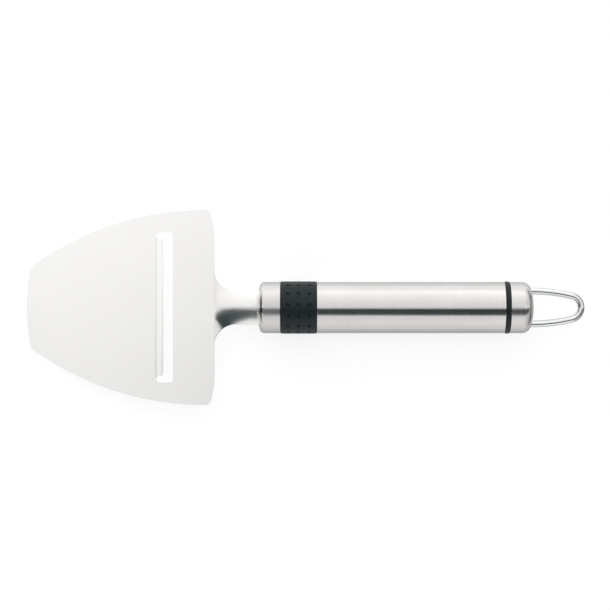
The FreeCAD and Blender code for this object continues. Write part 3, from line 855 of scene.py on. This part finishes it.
class SLICER_OT_blade(bpy.types.Operator):
    """Draws the blade's sheet, bends its lip and plate, and thickens, deburrs and grinds it"""

    bl_idname = "slicer.blade"
    bl_label = "Blade"

    def execute(self, context):
        settings = context.scene.slicer_blade
        rows = neck_rows(settings)
        x_shoulder, _, level, _ = rows[-1]
        blade = draw_neck(settings, rows)
        draw_plate(blade, settings, x_shoulder, level)
        pick(blade, "VERT", lambda v: v.co.x < x_shoulder - PLACE_TOLERANCE)
        bpy.ops.transform.rotate(value=droop, orient_axis="Y", center_override=(x_shoulder, 0, level))
        mirror_across(blade)
        modify(blade, "SOLIDIFY", thickness=settings.thickness, offset=0.0, use_even_offset=True)
        edges = {"limit_method": "ANGLE", "angle_limit": SMOOTH_ANGLE}
        modify(blade, "BEVEL", width=settings.deburr, segments=DEBURR_SEGMENTS, **edges)
        grind_lip(blade, settings, x_shoulder, level)
        finish_piece(blade, "blade", satin_sheet())
        return {"FINISHED"}


# Finishes


def add(tree, kind, *inputs, **settings):
    """Adds a node and gives its outputs. An input is a value, another node's output, or None to skip it."""
    node = tree.nodes.new("ShaderNode" + kind)
    for name, value in settings.items():
        setattr(node, name, value)
    for socket, value in zip(node.inputs, inputs):
        if isinstance(value, bpy.types.NodeSocket):
            tree.links.new(value, socket)
        elif value is not None:
            socket.default_value = value
    return node.outputs


def new_finish(name, metallic):
    """A new material, its node tree, its shader and the place on the piece."""
    material = bpy.data.materials.new(name)
    material.use_nodes = True
    tree = material.node_tree
    shader = tree.nodes["Principled BSDF"]
    shader.inputs["Metallic"].default_value = metallic
    return material, tree, shader, add(tree, "TexCoord")["Object"]


def grain(tree, place, cell, detail=2.0):
    """Noise whose cells measure about the given lengths along X, Y and Z."""
    laid = add(tree, "Mapping", place, None, None, [1 / size for size in cell])[0]
    return add(tree, "TexNoise", laid, None, 1.0, detail)[0]


def spread(tree, shader, tone, contrast, pattern):
    """Varies the shader's base colour around a tone by a pattern."""
    dark = (*[c * (1 - contrast) for c in tone], 1)
    light = (*[min(1.0, c * (1 + contrast)) for c in tone], 1)
    mixed = add(tree, "MixRGB", pattern, dark, light)[0]
    tree.links.new(mixed, shader.inputs["Base Color"])


def roughen(tree, shader, roughness, change, pattern):
    """Varies the shader's roughness up and down by a pattern."""
    levels = (roughness - change, roughness + change)
    ranged = add(tree, "MapRange", pattern, NOISE_LOW, NOISE_HIGH, *levels)[0]
    tree.links.new(ranged, shader.inputs["Roughness"])


def grade(tree, shader, x, start, end, low, high):
    """Multiplies the shader's roughness along X by a factor, low at the start and high at the end."""
    factor = add(tree, "MapRange", x, start, end, low, high)[0]
    even = shader.inputs["Roughness"].links[0].from_socket
    graded = add(tree, "Math", even, factor, operation="MULTIPLY")[0]
    tree.links.new(graded, shader.inputs["Roughness"])


def emboss(tree, shader, strength, height, pattern):
    """Raises the surface by a pattern."""
    raised = add(tree, "Bump", strength, height, None, pattern)[0]
    tree.links.new(raised, shader.inputs["Normal"])


def satin_sheet():
    """Stamped stainless sheet: pale and even to the eye, with a trace of rolling grain."""
    material, tree, shader, place = new_finish("satin_stainless_sheet", 1.0)
    settings = bpy.context.scene.slicer_blade
    wipe_marks = grain(tree, place, cell=(22 * MM, 14 * MM, 14 * MM))
    # Rolling lines along the sheet, drawn about five times as coarse as real ones
    rolling = grain(tree, place, cell=(9 * MM, 0.15 * MM, 0.15 * MM))
    spread(tree, shader, settings.steel, contrast=0.015, pattern=wipe_marks)
    roughen(tree, shader, settings.roughness, change=0.02, pattern=rolling)
    # The pressed neck is duller than the plate
    x = add(tree, "SeparateXYZ", place)[0]
    grade(tree, shader, x, ferrule_low.x - settings.dull_neck, ferrule_low.x, low=1.0, high=1.96)
    emboss(tree, shader, strength=0.03, height=0.01 * MM, pattern=rolling)
    return material


def brushed_stainless(name, roughness, towards):
    """Steel brushed around the handle: fine rings, with light sharp across it and smeared along it."""
    material, tree, shader, place = new_finish(name, 1.0)
    settings = bpy.context.scene.slicer_handle
    centred = add(tree, "Mapping", place, (0, 0, -axis_height))[0]
    x, y, z = add(tree, "SeparateXYZ", centred)
    section = add(tree, "CombineXYZ", None, y, z)[0]
    radius = add(tree, "VectorMath", section, operation="LENGTH")["Value"]
    # The rings go on over a domed end
    run = add(tree, "Math", radius, towards, x, operation="MULTIPLY_ADD")[0]
    unrolled = add(tree, "CombineXYZ", run, y, z)[0]
    # Brush lines around the handle, drawn about four times as coarse as real ones
    brushing = grain(tree, unrolled, cell=(0.25 * MM, 7 * MM, 7 * MM))
    handling = grain(tree, unrolled, cell=(18 * MM, 6 * MM, 6 * MM))
    both = add(tree, "Math", brushing, handling, operation="ADD")[0]
    marks = add(tree, "Math", both, 0.5, operation="MULTIPLY")[0]
    spread(tree, shader, settings.steel, contrast=0.12, pattern=marks)
    roughen(tree, shader, roughness, change=0.012, pattern=brushing)
    # The ferrule's corner is polished where the brush doesn't reach
    if towards > 0:
        polished_end = ferrule_low.x + settings.polished_end
        brushed_start = ferrule_low.x + settings.brushed_start
        grade(tree, shader, x, polished_end, brushed_start, low=0.4, high=1.0)
    emboss(tree, shader, strength=0.06, height=0.01 * MM, pattern=brushing)
    shader.inputs["Anisotropic"].default_value = 0.8
    shader.inputs["Anisotropic Rotation"].default_value = 0.25
    around = add(tree, "Tangent", direction_type="RADIAL", axis="X")[0]
    tree.links.new(around, shader.inputs["Tangent"])
    return material


def polished_wire():
    """Drawn and polished wire: nearly a mirror, so that the eye sees dark and white lines along it."""
    material, tree, shader, place = new_finish("polished_wire_steel", 1.0)
    settings = bpy.context.scene.slicer_handle
    # Drawing marks along the loop, drawn about three times as coarse as real ones
    drawing = grain(tree, place, cell=(5 * MM, 0.2 * MM, 0.2 * MM))
    spread(tree, shader, settings.wire_steel, contrast=0.02, pattern=drawing)
    roughen(tree, shader, settings.wire_roughness, change=0.03, pattern=drawing)
    return material


def moulded_rubber(name):
    """Moulded soft elastomer: near black and matt, with a fine grain that breaks up its sheen."""
    material, tree, shader, place = new_finish(name, 0.0)
    settings = bpy.context.scene.slicer_grip
    # Mould grain, drawn about twice as coarse as real
    fine = grain(tree, place, cell=(0.18 * MM, 0.18 * MM, 0.18 * MM), detail=3.0)
    wear = grain(tree, place, cell=(4 * MM, 4 * MM, 4 * MM))
    spread(tree, shader, settings.rubber, contrast=0.12, pattern=wear)
    roughen(tree, shader, settings.roughness, change=0.04, pattern=fine)
    shader.inputs["Specular IOR Level"].default_value = 0.34
    shader.inputs["Specular Tint"].default_value = (0.84, 0.97, 1.0, 1)
    emboss(tree, shader, strength=0.25, height=0.02 * MM, pattern=fine)
    return material


def moulded_nylon():
    """Filled nylon inside the handle: dark grey, with the dull mottle of a hidden moulding."""
    material, tree, shader, place = new_finish("moulded_nylon", 0.0)
    settings = bpy.context.scene.slicer_handle
    mottle = grain(tree, place, cell=(1.2 * MM, 1.2 * MM, 1.2 * MM))
    spread(tree, shader, settings.core_nylon, contrast=0.1, pattern=mottle)
    roughen(tree, shader, roughness=0.56, change=0.06, pattern=mottle)
    return material


def turned_steel():
    """Plain turned steel inside the handle: grey, with fine tool marks."""
    material, tree, shader, place = new_finish("turned_inner_steel", 1.0)
    settings = bpy.context.scene.slicer_handle
    marks = grain(tree, place, cell=(3 * MM, 0.2 * MM, 0.2 * MM))
    spread(tree, shader, settings.inner_steel, contrast=0.04, pattern=marks)
    roughen(tree, shader, roughness=0.32, change=0.04, pattern=marks)
    return material


class SLICER_OT_inner_pieces(bpy.types.Operator):
    """Gives the pieces hidden in the handle their finishes"""

    bl_idname = "slicer.inner_pieces"
    bl_label = "Inner pieces"

    def execute(self, context):
        finishes = {"core_plastic": moulded_nylon(), "inner_steel": turned_steel()}
        for node in ("front_core", "tang_pins", "rear_plug", "loop_anchor_disc"):
            frame["nodes"][node].material_slots[0].material = finishes[slot_of(node)]
        return {"FINISHED"}


# The stage


def soft_mask(tree, *edges):
    """1 inside all the soft edges (source, where it is 0, where it is 1), and 0 outside any of them."""
    inside = 1.0
    for source, start, end in edges:
        step = add(tree, "MapRange", source, start, end, interpolation_type="SMOOTHSTEP")[0]
        inside = add(tree, "Math", step, inside, operation="MULTIPLY")[0]
    return inside


def painted_dark_reflections(tree, along, across):
    """1 on the two painted dark patches of the floor past the slicer's ends, which only the steel's
    reflections show, and 0 around them.
    """
    apart = add(tree, "Math", along, operation="ABSOLUTE")[0]
    aside = add(tree, "Math", across, operation="ABSOLUTE")[0]
    slant = add(tree, "Math", aside, apart, operation="DIVIDE")[0]
    return soft_mask(tree, (apart, *REFLECTED_DARK_START), (slant, *REFLECTED_DARK_SLANT))


def floor_glow_with_painted_shade(tree, along, across, reflected_dark_patches):
    """Light of the floor itself towards the steel, with painted shade: low close to the handle as its
    painted shadow, dimmer on the -Y side, and none on the painted dark patches.
    """
    settings = bpy.context.scene.slicer_stage
    reach = settings.glow_reach
    shadow_middle = settings.painted_shadow_place
    # Painted shadow and side shade: the glow dips to its lowest just -Y of the handle and is dimmer on the
    # -Y side
    dim_side = add(tree, "MapRange", across, shadow_middle, -reach, settings.painted_shadow_glow, settings.dim_glow)[0]
    lit_side = add(tree, "MapRange", across, shadow_middle, reach, settings.painted_shadow_glow, settings.lit_glow)[0]
    beside = add(tree, "Math", dim_side, lit_side, operation="MAXIMUM")[0]
    painted_side_light = add(tree, "MapRange", across, -reach, reach, settings.dim_glow, settings.lit_glow)[0]
    # Ahead of the ferrule the glow rises to open floor, beyond the handle's painted shadow
    x_open = OPEN_FLOOR_SHARE * ferrule_low.x
    ahead = add(tree, "MapRange", along, ferrule_low.x, x_open, 0.0, OPEN_FLOOR_LEVEL)[0]
    open_floor = add(tree, "Math", painted_side_light, ahead, operation="MULTIPLY")[0]
    glow = add(tree, "Math", beside, open_floor, operation="MAXIMUM")[0]
    # No glow on the painted dark patches
    outside_dark_patches = add(tree, "Math", 1.0, reflected_dark_patches, operation="SUBTRACT")[0]
    return add(tree, "Math", glow, outside_dark_patches, operation="MULTIPLY")[0]


def pale_floor():
    """Matt board that shows as white and keeps the slicer's shadow; in the steel's reflections it has
    painted shade and a painted dark patch past each end.
    """
    material, tree, shader, place = new_finish("pale_floor_board", 0.0)
    settings = bpy.context.scene.slicer_stage
    shader.inputs["Roughness"].default_value = 1.0
    shader.inputs["Specular IOR Level"].default_value = 0.0
    shader.inputs["Emission Color"].default_value = (1, 1, 1, 1)
    along, across = add(tree, "SeparateXYZ", place)[:2]
    reflected_dark_patches = painted_dark_reflections(tree, along, across)
    rays = add(tree, "LightPath")
    steel_ray = rays["Is Glossy Ray"]
    # Painted reflection: the board turns black on the dark patches for the steel's reflections only
    dark = add(tree, "Math", steel_ray, reflected_dark_patches, operation="MULTIPLY")[0]
    board = add(tree, "MixRGB", dark, (*settings.floor_tone, 1), (0, 0, 0, 1))[0]
    tree.links.new(board, shader.inputs["Base Color"])
    seen = add(tree, "Math", rays["Is Camera Ray"], settings.seen_glow, operation="MULTIPLY")[0]
    # Painted shade in the floor as the steel sees it: its glow dips close to the handle and is dimmer on the
    # -Y side
    glow = floor_glow_with_painted_shade(tree, along, across, reflected_dark_patches)
    shown = add(tree, "Math", steel_ray, glow, seen, operation="MULTIPLY_ADD")[0]
    tree.links.new(shown, shader.inputs["Emission Strength"])
    # From below, the floor is clear
    back = add(tree, "NewGeometry")["Backfacing"]
    clear = add(tree, "BsdfTransparent")[0]
    sided = add(tree, "MixShader", back, shader.outputs[0], clear)[0]
    tree.links.new(sided, tree.nodes["Material Output"].inputs[0])
    return material


def panel_light(tree, tilt):
    """Level of the light panels by their tilt from straight up, towards +Y."""
    quarter = math.pi / 2
    place = add(tree, "MapRange", tilt, -quarter, quarter)[0]
    ramp = add(tree, "ValToRGB", place)[0]
    stops = ramp.node.color_ramp.elements
    while len(stops) < len(PANEL_LEVELS):
        stops.new(0.5)
    for stop, (degrees, level) in zip(stops, PANEL_LEVELS):
        stop.position = (degrees + 90) / 180
        stop.color = (*[level / PANEL_PEAK] * 3, 1)
    return ramp


def dark_gap(tree, x, tilt, lean):
    """1 in the dark gap between the panels, and 0 around it and on the white card across it."""
    edges = []
    for start, end, turn in GAP_EDGES:
        turned = add(tree, "MapRange", x, 0.0, GAP_TURN_X, 0.0, math.radians(turn))[0]
        skewed = add(tree, "Math", tilt, turned, operation="SUBTRACT")[0]
        edges.append((skewed, math.radians(start), math.radians(end)))
    white_card = soft_mask(tree, *[(lean, *edge) for edge in WHITE_CARD_LEANS])
    return soft_mask(tree, *edges, (white_card, 1.0, 0.0))


def panel_ends(tree, x, tilt, lean):
    """Factor of the panels' level: up towards both ends, down in the corners, dark at the opening."""
    apart = add(tree, "Math", lean, operation="ABSOLUTE")[0]
    aside = add(tree, "Math", x, operation="ABSOLUTE")[0]
    steep = add(tree, "Math", tilt, operation="ABSOLUTE")[0]
    corners = soft_mask(tree, (aside, *CORNER_X), (steep, *map(math.radians, CORNER_TILTS)))
    bright_ends = add(tree, "MapRange", apart, *BRIGHT_END_LEANS, 1.0, BRIGHT_END_LEVEL)[0]
    dim_corners = add(tree, "MapRange", corners, 0.0, 1.0, 1.0, CORNER_LEVEL)[0]
    opening = add(tree, "MapRange", x, *OPENING_X, OPENING_LEVEL, 1.0)[0]
    ends = add(tree, "Math", bright_ends, dim_corners, operation="MULTIPLY")[0]
    return add(tree, "Math", ends, opening, operation="MULTIPLY")[0]


def light_tent(scene):
    """White panels all round, and a dark gap beside the camera that draws the dark line on the steel."""
    scene.world = bpy.data.worlds.new("light_tent")
    scene.world.use_nodes = True
    tree = scene.world.node_tree
    x, y, z = add(tree, "SeparateXYZ", add(tree, "TexCoord")["Generated"])
    tilt = add(tree, "Math", y, z, operation="ARCTAN2")[0]
    height = add(tree, "Math", z, LEAST_HEIGHT, operation="MAXIMUM")[0]
    lean = add(tree, "Math", x, height, operation="DIVIDE")[0]
    level = panel_light(tree, tilt)
    ends = panel_ends(tree, x, tilt, lean)
    panels = add(tree, "VectorMath", level, None, None, ends, operation="SCALE")[0]
    dark = (*[c / PANEL_PEAK for c in scene.slicer_stage.gap_tone], 1)
    light = add(tree, "MixRGB", dark_gap(tree, x, tilt, lean), panels, dark)[0]
    # The eye sees plain white behind the floor
    white = (*[1 / PANEL_PEAK] * 3, 1)
    seen = add(tree, "MixRGB", add(tree, "LightPath")["Is Camera Ray"], light, white)[0]
    background = tree.nodes["Background"]
    background.inputs["Strength"].default_value = PANEL_PEAK
    tree.links.new(seen, background.inputs["Color"])


def place_camera(scene):
    """A camera straight above the slicer, as in the photograph."""
    settings = scene.slicer_stage
    data = bpy.data.cameras.new("photo_camera")
    data.lens = data.sensor_width * settings.distance / settings.view_width
    camera = bpy.data.objects.new("photo_camera", data)
    camera.location = (settings.aim_x, settings.aim_y, axis_height + settings.distance)
    scene.collection.objects.link(camera)
    scene.camera = camera


class SLICER_OT_stage(bpy.types.Operator):
    """Sets the floor, the light and the camera over the slicer"""

    bl_idname = "slicer.stage"
    bl_label = "Stage"

    def execute(self, context):
        settings = context.scene.slicer_stage
        bpy.ops.object.select_all(action="DESELECT")
        bpy.ops.mesh.primitive_plane_add(size=settings.floor_size)
        floor = bpy.context.object
        floor.name = "pale_floor"
        floor.data.materials.append(pale_floor())
        light_tent(context.scene)
        place_camera(context.scene)
        context.scene.view_settings.view_transform = "Standard"
        return {"FINISHED"}


class SLICER_PT_panel(bpy.types.Panel):
    """Lists the slicer's pieces and its stage"""

    bl_label = "Cheese slicer"
    bl_space_type = "VIEW_3D"
    bl_region_type = "UI"
    bl_category = "Slicer"

    def draw(self, context):
        for maker in MAKERS:
            self.layout.operator(maker.bl_idname)


SETTINGS = {
    "slicer_blade": BladeSettings,
    "slicer_handle": HandleSettings,
    "slicer_grip": GripSettings,
    "slicer_stage": StageSettings,
}
MAKERS = [
    SLICER_OT_blade,
    SLICER_OT_front_ferrule,
    SLICER_OT_grip_ring,
    SLICER_OT_handle_tube,
    SLICER_OT_rear_ring,
    SLICER_OT_end_cap,
    SLICER_OT_hanging_loop,
    SLICER_OT_inner_pieces,
    SLICER_OT_stage,
]


def register():
    for group in SETTINGS.values():
        bpy.utils.register_class(group)
    for name, group in SETTINGS.items():
        setattr(bpy.types.Scene, name, PointerProperty(type=group))
    for maker in MAKERS:
        bpy.utils.register_class(maker)
    bpy.utils.register_class(SLICER_PT_panel)


def unregister():
    bpy.utils.unregister_class(SLICER_PT_panel)
    for maker in reversed(MAKERS):
        bpy.utils.unregister_class(maker)
    for name, group in SETTINGS.items():
        delattr(bpy.types.Scene, name)
        bpy.utils.unregister_class(group)


def main():
    register()
    bpy.ops.slicer.blade()
    bpy.ops.slicer.front_ferrule()
    bpy.ops.slicer.grip_ring()
    bpy.ops.slicer.handle_tube()
    bpy.ops.slicer.rear_ring()
    bpy.ops.slicer.end_cap()
    bpy.ops.slicer.hanging_loop()
    bpy.ops.slicer.inner_pieces()
    bpy.ops.slicer.stage()


if __name__ == "__main__":
    main()
